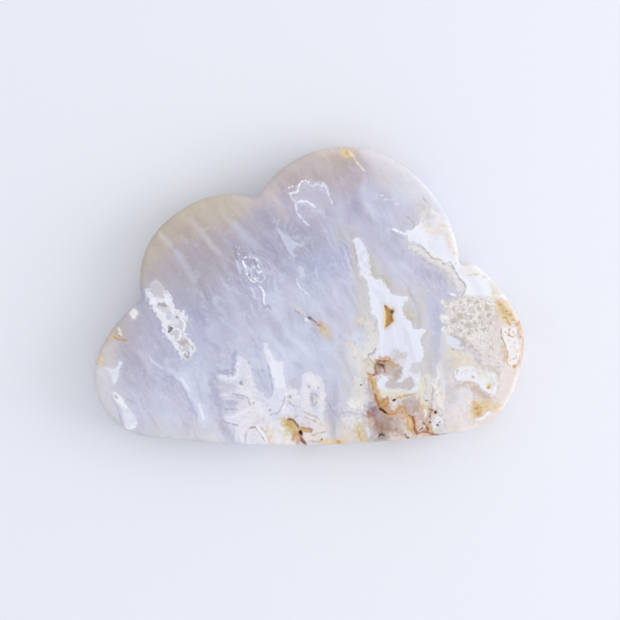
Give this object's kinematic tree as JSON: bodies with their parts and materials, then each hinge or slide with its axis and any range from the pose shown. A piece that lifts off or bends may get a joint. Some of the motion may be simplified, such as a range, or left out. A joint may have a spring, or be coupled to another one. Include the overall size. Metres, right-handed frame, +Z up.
{
  "type": "polished cloud agate slab",
  "caption": "Polished free-form slab of translucent banded agate with a lobed, cloud-like outline, rounded edges and a flat back.",
  "frame": {"origin": "under the middle of the outline's box, on the surface that the slab rests on", "axes": "+X along the slab's length towards its honey-coloured end, +Y across it towards the high top lobe, +Z up out of the polished face"},
  "size_m": [0.0798, 0.0554, 0.009],
  "materials": {
    "agate": "polished, translucent"
  },
  "bodies": {
    "root": {"cloud_agate": "agate"}
  },
  "joints": []
}
